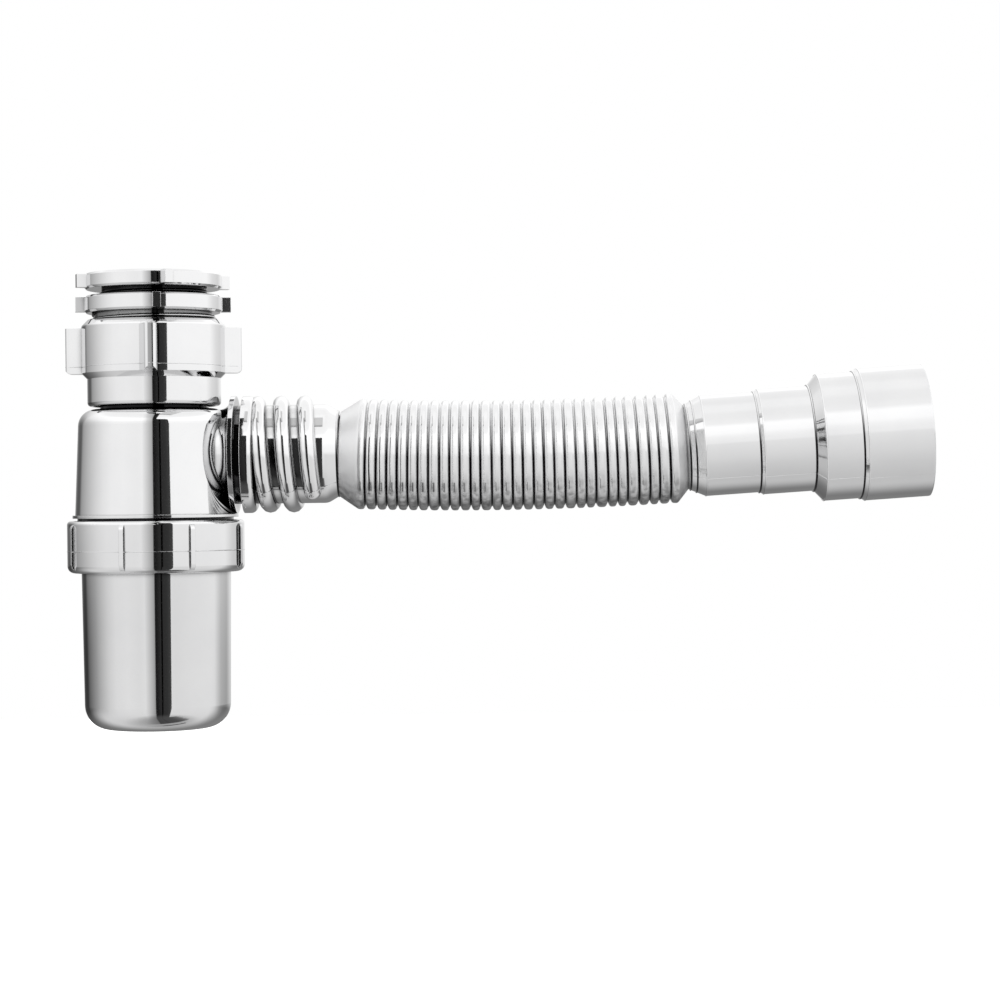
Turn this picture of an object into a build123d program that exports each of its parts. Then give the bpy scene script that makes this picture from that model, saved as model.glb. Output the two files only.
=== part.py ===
# Flexible bottle trap for a wash basin: a cup trap with a winged inlet nut, two thread reducers
# and a flexible tube with a stepped end. Millimetres, +Z up, the inlet axis is the Z axis,
# z = 0 is the mouth of the small reducer, and the tube leaves along +X.
import os
from math import cos, radians, sin

from build123d import *

os.makedirs("parts", exist_ok=True)

# Threads: outside radius of the one inch, one and a quarter and one and a half inch pipe threads.
waste_r = 16.625
middle_r = 20.955
inlet_r = 23.9
thread_depth = 1.48

# Fits: running gap of pieces that turn in each other, and the height of the rubber rings.
fit_gap = 0.3
washer_h = 2.5
ledge_h = 2.5
ledge_w = 3.6

# Reducers: rings with four grip lugs, and the bare neck that stays in sight below each ring.
ring_r = 26.0
small_ring_h = 5.8
large_ring_h = 6.4
bare_neck = 2.6
lug_reach = 3.3
lug_w = 3.0
lug_root_w = 6.0
small_lug_turn = -71.0
large_lug_turn = -80.0

# Inlet nut: barrel, stepped skirt and four wings.
nut_h = 32.7
nut_r = 27.2
nut_top_bevel = 2.4
nut_skirt_r = 25.2
nut_skirt_h = 10.4
nut_lip_h = 3.0
nut_recess = 2.6
wing_reach = 6.0
wing_tip_w = 4.1
wing_flank = 2.6
wing_round = 1.5
wing_foot = 2.4
wing_sink = 1.0
wing_h = 17.3
wing_drop = 3.1
wing_turn = -84.5

# Trap body: neck, shoulder, tapered wall, rim above the cup nut.
wall = 2.2
neck_r = 20.5
neck_flange_reach = 2.2
neck_flange_h = 3.0
shoulder_gap = 1.1
shoulder_flat = 1.6
body_taper = 1.7
body_h = 41.2
rim_reach = 1.0
rim_h = 1.1

# Dip tube: hung in the neck by its flange, ends above the floor of the cup.
dip_r = 17.0
dip_wall = 1.6
dip_flange_h = 2.2
dip_clear = 22.0

# Cup nut: union nut with eight grip ribs. Body and cup take their radii from its size and wall.
cup_nut_r = 33.4
cup_nut_wall = 2.4
cup_nut_gap = 1.0
cup_nut_lip_h = 3.0
rib_w = 1.8
rib_reach = 1.1
rib_turn = -14.4
cup_thread_l = 12.6

# Cup: slightly tapered, round bottom corner.
cup_ledge = 2.5
cup_taper = 0.8
cup_flange_h = 2.5
cup_depth = 62.1
cup_round = 9.1
cup_wall = 2.0

# Outlet: flared boss and rim on the body, then a coarse male thread for the tube.
outlet_z = -68.9
boss_r = 17.2
boss_rim_r = 22.3
boss_stand = 0.9
boss_rim_t = 1.8
spigot_neck_l = 2.4
spigot_l = 26.6
spigot_bore_r = 13.6
spigot_turns = 2.2

# Flexible tube: threaded cuff, waist, bellows, waist, stepped end.
tube_wall = 1.4
cuff_r = 18.7
mouth_bead_l = 4.9
coil_pitch = 8.93
coil_turns = 2.59
coil_lead = 73
coil_crest_r = 22.2
coil_w = 6.4
coil_sides = 12
waist_r = 16.0
waist_l = 4.6
waist_after = 7.3
bellows_l = 131.2
bead_count = 31
bead_pitch = 3.91
bead_flat = 2.3
first_bead = 8.6
crest_r = 20.9
groove_r = 18.7
sag = radians(2.7)
rise = radians(3.4)
tail_l = 91.0
step_r = (19.1, 20.0, 24.1, 25.1)
step_from = (6.5, 28.4, 51.0, 66.6)
step_to = (26.8, 47.4, 64.8)
step_round = 0.7

# Levels down the inlet axis, each from the one above it.
large_ring_z = -small_ring_h - bare_neck
nut_top_z = large_ring_z - large_ring_h - bare_neck
nut_low_z = nut_top_z - nut_h
lip_top_z = nut_low_z + nut_recess + nut_lip_h
neck_flange_z = lip_top_z + fit_gap
neck_top_z = neck_flange_z + neck_flange_h
dip_top_z = neck_top_z + dip_flange_h
large_low_z = dip_top_z + washer_h
middle_seat_z = large_low_z + ledge_h
small_low_z = middle_seat_z + washer_h
waste_seat_z = small_low_z + ledge_h
waste_bore_low_z = waste_seat_z + washer_h
shoulder_z = nut_low_z - shoulder_gap
rim_low_z = shoulder_z - body_h
body_end_z = rim_low_z - cup_thread_l
cup_flange_top_z = body_end_z - washer_h
cup_flange_low_z = cup_flange_top_z - cup_flange_h
cup_low_z = cup_flange_low_z - cup_depth
cup_nut_top_z = rim_low_z - cup_nut_gap
cup_nut_low_z = cup_flange_low_z - cup_nut_lip_h

# Radii that follow from the threads and walls.
large_core_r = inlet_r - thread_depth
small_core_r = middle_r - thread_depth
neck_bore_r = dip_r + fit_gap
cup_nut_bore_r = cup_nut_r - cup_nut_wall
body_core_r = cup_nut_bore_r - thread_depth
body_low_r = cup_nut_bore_r + fit_gap - rim_reach
body_top_r = body_low_r - body_taper
shoulder_round = body_top_r - neck_r - shoulder_flat
cup_flange_r = cup_nut_bore_r - fit_gap
cup_top_r = cup_flange_r - cup_ledge
cup_low_r = cup_top_r - cup_taper
cup_mouth_r = cup_top_r - cup_wall
cuff_bore_r = cuff_r - tube_wall
spigot_r = cuff_bore_r - fit_gap

wing_low_z = nut_top_z - wing_drop - wing_h
wing_tip_r = nut_r + wing_reach
wing_foot_r = wing_tip_r + fit_gap

# Places along the outlet: cuff mouth, end of the spigot, waist and the start of the thread coil.
boss_rim_x = body_low_r + boss_stand
cuff_x = boss_rim_x + spigot_neck_l + fit_gap
spigot_end_x = cuff_x + spigot_l
waist_x = spigot_end_x + washer_h + waist_after
outlet_axis = Axis((0, 0, outlet_z), (1, 0, 0))
coil_mid_r = coil_crest_r - coil_w / 2
coil_foot = coil_mid_r - spigot_r + fit_gap
coil_x = cuff_x + coil_w / 2 + fit_gap
coil_from = (coil_x, 0, outlet_z)
groove_from = (coil_x - coil_pitch, 0, outlet_z)
coil_out = (0, sin(radians(coil_lead)), cos(radians(coil_lead)))


def thread_outline(half):
    """Section of the coarse thread: straight foot, bevelled crest."""
    foot = [(-coil_foot, half), (-coil_foot, -half)]
    return foot + [(0, -half), (half, -half / 2), (half, half / 2), (0, half)]


# Line of the tube: it sags a little at the waist and rises along one long arc to the stepped end.
bend_r = bellows_l / (sag + rise)


def on_tube(along):
    """Plane across the tube at a distance from the first waist."""
    turn = along / bend_r - sag
    x = waist_x + bend_r * (sin(turn) + sin(sag))
    z = outlet_z - bend_r * (cos(turn) - cos(sag))
    tilt = turn if along else 0
    return Plane((x, 0, z), x_dir=(0, 1, 0), z_dir=(cos(tilt), 0, sin(tilt)))


tail_plane = Plane(on_tube(bellows_l).origin, x_dir=(cos(rise), 0, sin(rise)), z_dir=(0, -1, 0))

# Reducer rings lie between two bevels, and their lugs stop just short of both faces.
ring_bevel = 0.8
lug_inset = 0.4

with BuildPart() as small_reducer:
    with BuildSketch(Plane.XZ):
        with BuildLine():
            Polyline(
                (waste_r, 0),
                (ring_r - ring_bevel, 0),
                (ring_r, -ring_bevel),
                (ring_r, -small_ring_h + ring_bevel),
                (ring_r - ring_bevel, -small_ring_h),
                (small_core_r, -small_ring_h),
                (small_core_r, small_low_z),
                (waste_r - ledge_w, small_low_z),
                (waste_r - ledge_w, waste_seat_z),
                (waste_r - fit_gap, waste_seat_z),
                (waste_r - fit_gap, waste_bore_low_z),
                (waste_r, waste_bore_low_z),
                close=True,
            )
        make_face()
    revolve(axis=Axis.Z)
    # Four tapered grip lugs round the ring.
    with BuildSketch(Plane.XY.offset(-small_ring_h + lug_inset)):
        with PolarLocations(0, 4, start_angle=small_lug_turn):
            Polygon(
                (ring_r - lug_root_w / 2, -lug_root_w / 2),
                (ring_r + lug_reach, -lug_w / 2),
                (ring_r + lug_reach, lug_w / 2),
                (ring_r - lug_root_w / 2, lug_root_w / 2),
                align=None,
            )
    extrude(amount=small_ring_h - 2 * lug_inset)
small_reducer.part.label = "small_reducer"
export_step(small_reducer.part, "parts/small_reducer.step")

with BuildPart() as waste_washer:
    with BuildSketch(Plane.XY.offset(waste_seat_z)):
        Circle(waste_r - 2 * fit_gap)
        Circle(waste_r - ledge_w - fit_gap, mode=Mode.SUBTRACT)
    extrude(amount=washer_h)
waste_washer.part.label = "waste_washer"
export_step(waste_washer.part, "parts/waste_washer.step")

with BuildPart() as large_reducer:
    with BuildSketch(Plane.XZ):
        with BuildLine():
            Polyline(
                (middle_r, large_ring_z),
                (ring_r - ring_bevel, large_ring_z),
                (ring_r, large_ring_z - ring_bevel),
                (ring_r, large_ring_z - large_ring_h + ring_bevel),
                (ring_r - ring_bevel, large_ring_z - large_ring_h),
                (large_core_r, large_ring_z - large_ring_h),
                (large_core_r, large_low_z),
                (middle_r - ledge_w, large_low_z),
                (middle_r - ledge_w, middle_seat_z),
                (middle_r, middle_seat_z),
                close=True,
            )
        make_face()
    revolve(axis=Axis.Z)
    # Four square grip lugs round the ring.
    with BuildSketch(Plane.XY.offset(large_ring_z - large_ring_h + lug_inset)):
        with PolarLocations(0, 4, start_angle=large_lug_turn):
            Polygon(
                (ring_r - lug_w / 2, -lug_w / 2),
                (ring_r + lug_reach, -lug_w / 2),
                (ring_r + lug_reach, lug_w / 2),
                (ring_r - lug_w / 2, lug_w / 2),
                align=None,
            )
    extrude(amount=large_ring_h - 2 * lug_inset)
large_reducer.part.label = "large_reducer"
export_step(large_reducer.part, "parts/large_reducer.step")

with BuildPart() as middle_washer:
    with BuildSketch(Plane.XY.offset(middle_seat_z)):
        Circle(middle_r - fit_gap)
        Circle(middle_r - ledge_w - fit_gap, mode=Mode.SUBTRACT)
    extrude(amount=washer_h)
middle_washer.part.label = "middle_washer"
export_step(middle_washer.part, "parts/middle_washer.step")

with BuildPart() as inlet_nut:
    with BuildSketch(Plane.XZ) as nut_section:
        with BuildLine():
            Polyline(
                (inlet_r, nut_top_z),
                (nut_r - nut_top_bevel, nut_top_z),
                (nut_r, nut_top_z - nut_top_bevel),
                (nut_r, nut_low_z + nut_skirt_h + nut_r - nut_skirt_r),
                (nut_skirt_r, nut_low_z + nut_skirt_h),
                (nut_skirt_r, nut_low_z),
                (neck_r + nut_recess, nut_low_z),
                (neck_r + nut_recess, nut_low_z + nut_recess),
                (neck_r + fit_gap, nut_low_z + nut_recess),
                (neck_r + fit_gap, lip_top_z),
                (inlet_r, lip_top_z),
                close=True,
            )
        make_face()
        fillet(nut_section.vertices().sort_by_distance((nut_skirt_r, nut_low_z))[0], 1.4)
        fillet(nut_section.vertices().sort_by_distance((nut_r, nut_top_z - nut_top_bevel))[0], 1.2)
    revolve(axis=Axis.Z)
    # Four wings, each with a steep flank to push on, a sloping flank and a rounded tip.
    with BuildSketch(Plane.XY.offset(wing_low_z)) as wing_outline:
        with PolarLocations(0, 4, start_angle=wing_turn):
            Polygon(
                (nut_r - wing_sink, -wing_tip_w / 2 - wing_flank),
                (wing_tip_r, -wing_tip_w / 2),
                (wing_tip_r, wing_tip_w / 2),
                (nut_r - wing_sink, wing_tip_w / 2),
                align=None,
            )
        fillet(wing_outline.vertices().sort_by(SortBy.DISTANCE)[-8:], wing_round)
    extrude(amount=wing_h)
    # The lower outer corners of the wings are rounded too.
    with BuildSketch(Plane.XZ):
        with BuildLine():
            Polyline(
                (wing_foot_r - wing_foot, wing_low_z),
                (wing_foot_r - wing_foot, wing_low_z - wing_sink),
                (wing_tip_r + wing_sink, wing_low_z - wing_sink),
                (wing_tip_r + wing_sink, wing_low_z + wing_foot),
                (wing_foot_r, wing_low_z + wing_foot),
            )
            RadiusArc((wing_foot_r, wing_low_z + wing_foot), (wing_foot_r - wing_foot, wing_low_z), wing_foot)
        make_face()
    revolve(axis=Axis.Z, mode=Mode.SUBTRACT)
inlet_nut.part.label = "inlet_nut"
export_step(inlet_nut.part, "parts/inlet_nut.step")

with BuildPart() as inlet_washer:
    with BuildSketch(Plane.XY.offset(dip_top_z)):
        Circle(large_core_r)
        Circle(dip_r, mode=Mode.SUBTRACT)
    extrude(amount=washer_h)
inlet_washer.part.label = "inlet_washer"
export_step(inlet_washer.part, "parts/inlet_washer.step")

with BuildPart() as dip_tube:
    with BuildSketch(Plane.XZ):
        with BuildLine():
            Polyline(
                (dip_r - dip_wall, dip_top_z),
                (large_core_r, dip_top_z),
                (large_core_r, neck_top_z),
                (dip_r, neck_top_z),
                (dip_r, cup_low_z + dip_clear),
                (dip_r - dip_wall, cup_low_z + dip_clear),
                close=True,
            )
        make_face()
    revolve(axis=Axis.Z)
dip_tube.part.label = "dip_tube"
export_step(dip_tube.part, "parts/dip_tube.step")

with BuildPart() as trap_body:
    # Outside of the shell, from the neck flange down to the end of the cup thread.
    with BuildSketch(Plane.XZ) as body_section:
        with BuildLine():
            Polyline(
                (0, neck_top_z),
                (neck_r + neck_flange_reach, neck_top_z),
                (neck_r + neck_flange_reach, neck_flange_z),
                (neck_r, neck_flange_z),
                (neck_r, shoulder_z),
                (body_top_r, shoulder_z),
                (body_low_r, rim_low_z + rim_h),
                (body_low_r + rim_reach, rim_low_z + rim_h),
                (body_low_r + rim_reach, rim_low_z),
                (body_core_r, rim_low_z),
                (body_core_r, body_end_z),
                (0, body_end_z),
                close=True,
            )
        make_face()
        fillet(body_section.vertices().sort_by_distance((body_top_r, shoulder_z))[0], shoulder_round)
    revolve(axis=Axis.Z)
    # Flared outlet boss with its rim, and the spigot that carries the tube.
    with BuildSketch(Plane.XZ) as boss_section:
        with BuildLine():
            Polyline(
                (neck_r, outlet_z),
                (neck_r, outlet_z + boss_r),
                (boss_rim_x - boss_rim_t, outlet_z + boss_r),
                (boss_rim_x - boss_rim_t, outlet_z + boss_rim_r),
                (boss_rim_x, outlet_z + boss_rim_r),
                (boss_rim_x, outlet_z + cuff_r),
                (cuff_x - fit_gap, outlet_z + cuff_r),
                (cuff_x - fit_gap, outlet_z + spigot_r),
                (spigot_end_x, outlet_z + spigot_r),
                (spigot_end_x, outlet_z),
                close=True,
            )
        make_face()
        boss_corner = (boss_rim_x - boss_rim_t, outlet_z + boss_r)
        fillet(boss_section.vertices().sort_by_distance(boss_corner)[0], boss_rim_r - boss_r - fit_gap)
    revolve(axis=outlet_axis)
    # Coarse male thread on the spigot.
    with BuildLine() as spigot_path:
        helix_l = coil_pitch * spigot_turns
        helix = Helix(coil_pitch, helix_l, coil_mid_r, coil_from, (1, 0, 0), mode=Mode.PRIVATE)
        add(helix.rotate(outlet_axis, -coil_lead))
    with BuildSketch(Plane(spigot_path.line @ 0, x_dir=coil_out, z_dir=spigot_path.line % 0)):
        Polygon(*thread_outline(coil_w / 2 - tube_wall - fit_gap), align=None)
    sweep(path=spigot_path.line, is_frenet=True)
    # Inside: neck bore, chamber and mouth for the cup.
    with BuildSketch(Plane.XZ) as chamber_section:
        with BuildLine():
            Polyline(
                (0, neck_top_z),
                (neck_bore_r, neck_top_z),
                (neck_bore_r, shoulder_z - wall),
                (body_top_r - wall, shoulder_z - wall),
                (body_low_r - wall, rim_low_z),
                (body_low_r - wall, body_end_z),
                (0, body_end_z),
                close=True,
            )
        make_face()
        chamber_corner = (body_top_r - wall, shoulder_z - wall)
        fillet(chamber_section.vertices().sort_by_distance(chamber_corner)[0], shoulder_round - wall)
    revolve(axis=Axis.Z, mode=Mode.SUBTRACT)
    # Bore of the outlet.
    with BuildSketch(Plane.YZ.offset(neck_r)):
        with Locations((0, outlet_z)):
            Circle(spigot_bore_r)
    extrude(amount=spigot_end_x - neck_r, mode=Mode.SUBTRACT)
trap_body.part.label = "trap_body"
export_step(trap_body.part, "parts/trap_body.step")

with BuildPart() as cup_seal:
    with BuildSketch(Plane.XY.offset(cup_flange_top_z)):
        Circle(cup_flange_r)
        Circle(cup_mouth_r, mode=Mode.SUBTRACT)
    extrude(amount=washer_h)
cup_seal.part.label = "cup_seal"
export_step(cup_seal.part, "parts/cup_seal.step")

with BuildPart() as cup:
    with BuildSketch(Plane.XZ) as cup_section:
        with BuildLine():
            Polyline(
                (0, cup_flange_top_z),
                (cup_flange_r, cup_flange_top_z),
                (cup_flange_r, cup_flange_low_z),
                (cup_top_r, cup_flange_low_z),
                (cup_low_r, cup_low_z),
                (0, cup_low_z),
                close=True,
            )
        make_face()
        fillet(cup_section.vertices().sort_by_distance((cup_low_r, cup_low_z))[0], cup_round)
    revolve(axis=Axis.Z)
    with BuildSketch(Plane.XZ) as cup_inside:
        with BuildLine():
            Polyline(
                (0, cup_flange_top_z),
                (cup_mouth_r, cup_flange_top_z),
                (cup_low_r - cup_wall, cup_low_z + cup_wall),
                (0, cup_low_z + cup_wall),
                close=True,
            )
        make_face()
        inside_corner = (cup_low_r - cup_wall, cup_low_z + cup_wall)
        fillet(cup_inside.vertices().sort_by_distance(inside_corner)[0], cup_round - cup_wall)
    revolve(axis=Axis.Z, mode=Mode.SUBTRACT)
cup.part.label = "cup"
export_step(cup.part, "parts/cup.step")

with BuildPart() as cup_nut:
    with BuildSketch(Plane.XZ) as cup_nut_section:
        with BuildLine():
            Polyline(
                (cup_nut_bore_r, cup_nut_top_z),
                (cup_nut_r, cup_nut_top_z),
                (cup_nut_r, cup_nut_low_z),
                (cup_top_r + fit_gap, cup_nut_low_z),
                (cup_top_r + fit_gap, cup_flange_low_z),
                (cup_nut_bore_r, cup_flange_low_z),
                close=True,
            )
        make_face()
        fillet(cup_nut_section.vertices().sort_by_distance((cup_nut_r, cup_nut_top_z))[0], 1.4)
        fillet(cup_nut_section.vertices().sort_by_distance((cup_nut_r, cup_nut_low_z))[0], 2.6)
    revolve(axis=Axis.Z)
    # Eight grip ribs, rounded off at both ends.
    for k in range(8):
        turn = radians(rib_turn + 45 * k)
        rib_plane = Plane((0, 0, 0), x_dir=(cos(turn), sin(turn), 0), z_dir=(sin(turn), -cos(turn), 0))
        with BuildSketch(rib_plane) as rib_section:
            with BuildLine():
                Polyline(
                    (cup_nut_bore_r + wall / 2, cup_nut_top_z - rib_reach),
                    (cup_nut_r + rib_reach, cup_nut_top_z - rib_reach),
                    (cup_nut_r + rib_reach, cup_nut_low_z + rib_reach),
                    (cup_nut_bore_r + wall / 2, cup_nut_low_z + rib_reach),
                    close=True,
                )
            make_face()
            fillet(rib_section.vertices().group_by(Axis.X)[-1], 2 * rib_reach)
        extrude(amount=rib_w / 2, both=True)
cup_nut.part.label = "cup_nut"
export_step(cup_nut.part, "parts/cup_nut.step")

with BuildPart() as outlet_washer:
    with BuildSketch(Plane.YZ.offset(spigot_end_x)):
        with Locations((0, outlet_z)):
            Circle(spigot_r)
            Circle(spigot_bore_r, mode=Mode.SUBTRACT)
    extrude(amount=washer_h)
outlet_washer.part.label = "outlet_washer"
export_step(outlet_washer.part, "parts/outlet_washer.step")

with BuildPart() as tube_cuff:
    # Outside: mouth bead, plain cuff and the cone down to the waist.
    with BuildSketch(Plane.XZ) as cuff_section:
        with BuildLine():
            Polyline(
                (cuff_x, outlet_z),
                (cuff_x, outlet_z + coil_crest_r),
                (cuff_x + mouth_bead_l, outlet_z + coil_crest_r),
                (cuff_x + mouth_bead_l, outlet_z + cuff_r),
                (waist_x - waist_l, outlet_z + cuff_r),
                (waist_x, outlet_z + waist_r),
                (waist_x, outlet_z),
                close=True,
            )
        make_face()
        bead_corner = (cuff_x + mouth_bead_l, outlet_z + coil_crest_r)
        fillet(cuff_section.vertices().sort_by_distance(bead_corner)[0], mouth_bead_l / 2)
        cone_corner = (waist_x - waist_l, outlet_z + cuff_r)
        fillet(cuff_section.vertices().sort_by_distance(cone_corner)[0], waist_l)
    revolve(axis=outlet_axis)
    # Round thread coil standing out of the cuff, with rounded ends.
    with BuildLine() as coil_path:
        helix_l = coil_pitch * coil_turns
        helix = Helix(coil_pitch, helix_l, coil_mid_r, coil_from, (1, 0, 0), mode=Mode.PRIVATE)
        add(helix.rotate(outlet_axis, -coil_lead))
    with BuildSketch(Plane(coil_path.line @ 0, x_dir=coil_out, z_dir=coil_path.line % 0)):
        RegularPolygon(coil_w / 2, coil_sides)
    sweep(path=coil_path.line, is_frenet=True)
    with Locations(coil_path.line @ 0, coil_path.line @ 1):
        Sphere(coil_w / 2)
    # Inside: bore, washer seat, waist.
    with BuildSketch(Plane.XZ):
        with BuildLine():
            Polyline(
                (cuff_x, outlet_z),
                (cuff_x, outlet_z + cuff_bore_r),
                (spigot_end_x + washer_h, outlet_z + cuff_bore_r),
                (spigot_end_x + washer_h, outlet_z + waist_r - tube_wall),
                (waist_x, outlet_z + waist_r - tube_wall),
                (waist_x, outlet_z),
                close=True,
            )
        make_face()
    revolve(axis=outlet_axis, mode=Mode.SUBTRACT)
    # Groove behind the coil, open at the mouth.
    with BuildLine() as groove_path:
        helix_l = coil_pitch * (coil_turns + 1)
        helix = Helix(coil_pitch, helix_l, coil_mid_r, groove_from, (1, 0, 0), mode=Mode.PRIVATE)
        add(helix.rotate(outlet_axis, -coil_lead))
    with BuildSketch(Plane(groove_path.line @ 0, x_dir=coil_out, z_dir=groove_path.line % 0)):
        Polygon(*thread_outline(coil_w / 2 - tube_wall), align=None)
    sweep(path=groove_path.line, is_frenet=True, mode=Mode.SUBTRACT)
tube_cuff.part.label = "tube_cuff"
export_step(tube_cuff.part, "parts/tube_cuff.step")

# Sections of the bellows: distance along the tube and radius, outside and inside.
beads = [first_bead + bead_pitch * k for k in range(bead_count)]
outside = [(0, waist_r)]
for bead in beads:
    outside += [(bead - bead_flat / 2, crest_r), (bead + bead_flat / 2, crest_r)]
    outside += [(bead + bead_pitch / 2, groove_r)]
outside = outside[:-1] + [(bellows_l, waist_r)]
inside = [(0, waist_r - tube_wall)]
inside += [(bead, groove_r - tube_wall) for bead in beads[::5]]
inside += [(bellows_l, waist_r - tube_wall)]

with BuildPart() as tube_bellows:
    for along, radius in outside:
        with BuildSketch(on_tube(along)):
            Circle(radius)
    loft(ruled=True)
    for along, radius in inside:
        with BuildSketch(on_tube(along)):
            Circle(radius)
    loft(ruled=True, mode=Mode.SUBTRACT)
tube_bellows.part.label = "tube_bellows"
export_step(tube_bellows.part, "parts/tube_bellows.step")

# Outline of the stepped end: distance from the waist and radius of its outside.
steps = [(0, waist_r)]
for k in range(3):
    steps += [(step_from[k], step_r[k]), (step_to[k], step_r[k])]
steps += [(step_from[3], step_r[3]), (tail_l, step_r[3])]

with BuildPart() as tube_tail:
    with BuildSketch(tail_plane) as tail_section:
        with BuildLine():
            Polyline((0, 0), *steps, (tail_l, 0), close=True)
        make_face()
        step_edges = tail_section.vertices().group_by(Axis.X)[1:-1]
        fillet([edge[0] for edge in step_edges], step_round)
    revolve(axis=Axis(tail_plane.origin, tail_plane.x_dir))
    with BuildSketch(tail_plane):
        with BuildLine():
            Polyline((0, 0), *[(s, r - tube_wall) for s, r in steps], (tail_l, 0), close=True)
        make_face()
    revolve(axis=Axis(tail_plane.origin, tail_plane.x_dir), mode=Mode.SUBTRACT)
tube_tail.part.label = "tube_tail"
export_step(tube_tail.part, "parts/tube_tail.step")
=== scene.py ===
"""Looks of the flexible bottle trap: chromed plastic in a white studio, seen as in the photograph."""
import math
from functools import partial
import bmesh
import bpy
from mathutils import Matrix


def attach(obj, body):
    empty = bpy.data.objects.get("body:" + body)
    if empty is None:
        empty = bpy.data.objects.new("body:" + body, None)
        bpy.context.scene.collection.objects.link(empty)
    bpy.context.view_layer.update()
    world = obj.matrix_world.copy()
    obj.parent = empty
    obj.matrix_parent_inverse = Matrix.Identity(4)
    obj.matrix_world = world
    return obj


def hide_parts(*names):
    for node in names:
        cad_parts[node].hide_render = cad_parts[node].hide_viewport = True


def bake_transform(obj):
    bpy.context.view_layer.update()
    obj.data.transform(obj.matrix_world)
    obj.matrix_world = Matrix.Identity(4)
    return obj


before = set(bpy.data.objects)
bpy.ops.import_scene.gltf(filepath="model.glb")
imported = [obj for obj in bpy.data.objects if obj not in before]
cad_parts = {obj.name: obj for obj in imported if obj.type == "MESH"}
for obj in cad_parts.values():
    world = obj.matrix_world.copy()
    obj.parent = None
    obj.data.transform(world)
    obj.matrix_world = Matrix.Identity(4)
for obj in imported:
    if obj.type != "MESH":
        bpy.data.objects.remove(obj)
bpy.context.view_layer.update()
MM = 0.001

# Cuff of the flexible tube with its coarse thread, as in the part's source.
OUTLET_Z = -68.9 * MM
CUFF_X = 33.9 * MM
CUFF_R = 18.7 * MM
MOUTH_BEAD_L = 4.9 * MM
COIL_X = 37.4 * MM
COIL_PITCH = 8.93 * MM
COIL_TURNS = 2.59
COIL_START = math.radians(163)
COIL_MID_R = 19.0 * MM
COIL_HALF = 3.2 * MM
WAIST_X = 70.3 * MM
WAIST_R = 16.0 * MM
WAIST_L = 4.6 * MM
CUFF_SMOOTH = math.radians(38)

# Bellows, which sags from the waist and rises to the stepped end. Its beads are flat on top and round at the
# sides, and drift a little from even places.
BELLOWS_L = 131.2 * MM
SAG = math.radians(2.7)
RISE = math.radians(3.4)
BEND_R = BELLOWS_L / (SAG + RISE)
BEAD_COUNT = 31
BEAD_PITCH = 3.91 * MM
FIRST_BEAD = 8.6 * MM
LAST_BEAD = FIRST_BEAD + BEAD_PITCH * (BEAD_COUNT - 1)
CREST_R = 20.9 * MM
GROOVE_R = 18.4 * MM
FILM_WALL = 1.2 * MM
BEAD_FLAT, BEAD_ROUND = 3.2, 0.55
BEAD_DRIFT = 0.9 * MM
DRIFT_RUN = 7 * MM
WHOLE_AND_HALF = 100.5
CONE_END = 1.0 * MM
CONE_BLEND = 0.6 * MM

# Stepped end, in millimetres: distance along it and radius. Fine beads sit on the outer corners of the steps
# and creases in the inner ones, and one crease runs round the first waist.
STEPS = ((0, 16.0), (6.5, 19.1), (26.8, 19.1), (28.4, 20.0), (47.4, 20.0), (51.0, 24.1),
         (64.8, 24.1), (66.6, 25.1), (91.0, 25.1))
STEP_BEADS = ((6.5, 18.95), (28.4, 19.85), (51.0, 23.95), (66.6, 24.95))
STEP_CREASES = ((0.8, 16.4), (3.0, 17.4), (26.8, 19.2), (47.4, 20.2), (64.8, 24.2))
WAIST_CREASE = ((-0.5, 16.2),)
BEAD_RIDGE, CREASE_RIDGE, WAIST_RIDGE = 0.3 * MM, 0.35 * MM, 0.4 * MM
HOOP_RUN_OUT = 0.3 * MM

# Parting lines of the blown tube: two halves of the mould met below the front and above the back.
SEAM_ANGLES = (math.radians(-42), math.radians(138))
SEAM_RIDGE = 0.17 * MM
CUFF_SEAM_RUN_OUT, TAIL_SEAM_RUN_OUT = 1.5 * MM, 0.4 * MM

# Kinds of thread: pitch and radius of the round ridge. The middle line of a pipe thread stands a little off
# the plain core or bore.
PIPE_THREAD, CUP_THREAD = (2.309 * MM, 0.8 * MM), (4.0 * MM, 1.15 * MM)
PIPE_OFF = 0.35 * MM
THREAD_RUN_OUT = 12 * MM

# Threads: piece, radius of the middle line, lower and upper end, kind and body.
THREADS = (
    ("small_reducer_thread", 19.476 * MM + PIPE_OFF, -30.0 * MM, -6.2 * MM, PIPE_THREAD, "small_reducer"),
    ("large_reducer_thread", 22.42 * MM + PIPE_OFF, -35.0 * MM, -15.2 * MM, PIPE_THREAD, "large_reducer"),
    ("waste_thread", 16.625 * MM - PIPE_OFF, -25.5 * MM, -0.9 * MM, PIPE_THREAD, "small_reducer"),
    ("cup_thread", 29.52 * MM, -104.0 * MM, -94.6 * MM, CUP_THREAD, "trap"),
)

# Union nuts: radius, height of the parting line, and the grips that the line runs over.
# A grip is given by how far it stands out and how far to the side, in millimetres, from foot to foot.
CUP_NUT_LINE = dict(radius=33.4 * MM, level=-104.8 * MM, turn=math.radians(-14.4), count=8,
                    grip=((0, -0.83), (0.95, -0.83), (0.95, 0.83), (0, 0.83)))
INLET_NUT_LINE = dict(radius=27.2 * MM, level=-35.2 * MM, turn=math.radians(-84.5), count=4,
                      grip=((0, -4.28), (4.3, -2.68), (5.4, -1.8), (6, -0.75), (6, 0.55), (5.55, 1.6),
                            (4.5, 2.05), (0, 2.05)))
CUP_NUT_RIDGE, INLET_NUT_RIDGE = 0.16 * MM, 0.12 * MM
NUT_RUN_OUT = 0.4 * MM

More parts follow.
